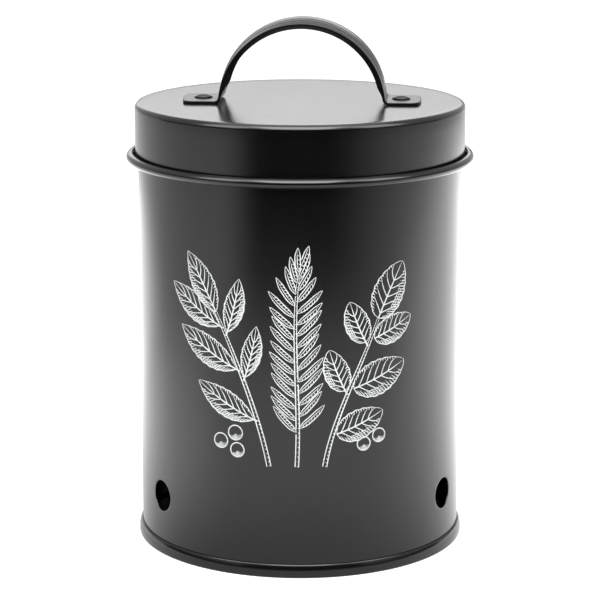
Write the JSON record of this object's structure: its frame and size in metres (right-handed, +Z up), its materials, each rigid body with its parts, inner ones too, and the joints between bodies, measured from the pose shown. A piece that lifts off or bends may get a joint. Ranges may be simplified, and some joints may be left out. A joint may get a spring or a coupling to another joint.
{
  "type": "garlic keeper",
  "caption": "Black metal garlic canister with vent holes low in its wall, a slip-over lid with a rolled edge, and a riveted strap handle.",
  "frame": {"origin": "centre of the base, on the surface that the canister stands on", "axes": "+Z up along the canister's axis, -Y towards the front with the print, +X to the right seen from the front"},
  "size_m": [0.1286, 0.1286, 0.1953],
  "materials": {
    "black_finish": "satin black baked finish on sheet steel",
    "white_print": "matt white screen-printed ink"
  },
  "bodies": {
    "canister": {"body_shell": "black_finish", "base_pan": "black_finish"},
    "lid": {"lid_cap": "black_finish", "lid_handle": "black_finish", "rivet_left": "black_finish", "rivet_right": "black_finish"}
  },
  "joints": [
    {"name": "lid_lift", "type": "slide", "parent": "canister", "child": "lid", "axis": [0, 0, 1], "range_m": [0, 0.04]}
  ]
}
